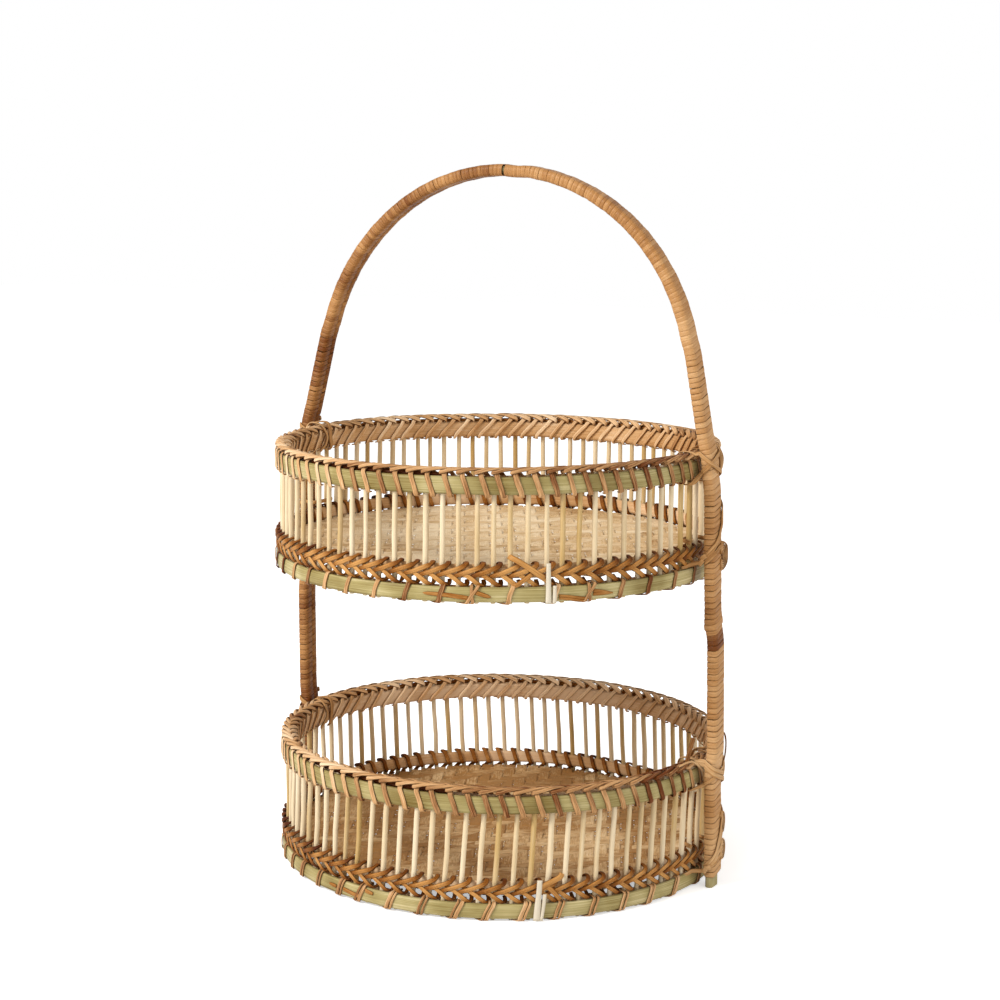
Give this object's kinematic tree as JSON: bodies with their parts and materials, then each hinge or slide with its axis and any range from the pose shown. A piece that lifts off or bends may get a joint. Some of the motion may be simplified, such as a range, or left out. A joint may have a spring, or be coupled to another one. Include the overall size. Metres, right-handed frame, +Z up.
{
  "type": "tiered serving stand",
  "caption": "Two-tier round bamboo serving stand: open stake trays with woven floors, hung one above the other on a cane-wrapped arched handle.",
  "frame": {"origin": "centre of the footprint, on the surface that the stand rests on, under the middle of the handle's arch", "axes": "+Z up through the top of the handle's arch; X across the two legs of the handle, +X towards the right leg; Y across the trays"},
  "size_m": [0.3396, 0.304, 0.4706],
  "materials": {
    "straw_bamboo": "peeled bamboo, satin, pale straw with yellower sticks",
    "green_bamboo": "split bamboo with its green skin outwards, low gloss",
    "inner_bamboo": "split bamboo, bare inner side, matt beige",
    "lashing_cane": "peeled cane strip, light tan, satin",
    "twining_cane": "cane with its skin, chestnut brown, satin",
    "wrap_cane": "flat cane peel, tan to honey, soft gloss",
    "tie_cane": "cane strip, tan to brown, satin",
    "woven_floor": "woven bamboo splints, matt straw",
    "peg_bamboo": "shaved bamboo, pale and matt"
  },
  "bodies": {
    "root": {"handle_core": "green_bamboo", "handle_wrap": "wrap_cane", "lower_stakes_and_waist_hoop": "straw_bamboo", "lower_rim_outer_hoop": "green_bamboo", "lower_rim_inner_hoop": "inner_bamboo", "lower_rim_lashing": "lashing_cane", "lower_rim_edge_braid": "lashing_cane", "lower_waist_twining": "twining_cane", "lower_floor_mat": "woven_floor", "lower_floor_lath_1": "inner_bamboo", "lower_floor_lath_2": "inner_bamboo", "lower_floor_lath_3": "inner_bamboo", "lower_base_outer_hoop": "green_bamboo", "lower_base_inner_hoop": "inner_bamboo", "lower_base_lashing": "lashing_cane", "lower_front_peg": "peg_bamboo", "upper_stakes_and_waist_hoop": "straw_bamboo", "upper_rim_outer_hoop": "green_bamboo", "upper_rim_inner_hoop": "inner_bamboo", "upper_rim_lashing": "lashing_cane", "upper_rim_edge_braid": "lashing_cane", "upper_waist_twining": "twining_cane", "upper_floor_mat": "woven_floor", "upper_floor_lath_1": "inner_bamboo", "upper_floor_lath_2": "inner_bamboo", "upper_floor_lath_3": "inner_bamboo", "upper_base_outer_hoop": "green_bamboo", "upper_base_inner_hoop": "inner_bamboo", "upper_base_lashing": "lashing_cane", "upper_front_peg": "peg_bamboo", "right_lower_rim_tie": "tie_cane", "right_lower_waist_tie": "tie_cane", "left_lower_rim_tie": "tie_cane", "left_lower_waist_tie": "tie_cane", "right_upper_rim_tie": "tie_cane", "right_upper_waist_tie": "tie_cane", "left_upper_rim_tie": "tie_cane", "left_upper_waist_tie": "tie_cane"}
  },
  "joints": []
}
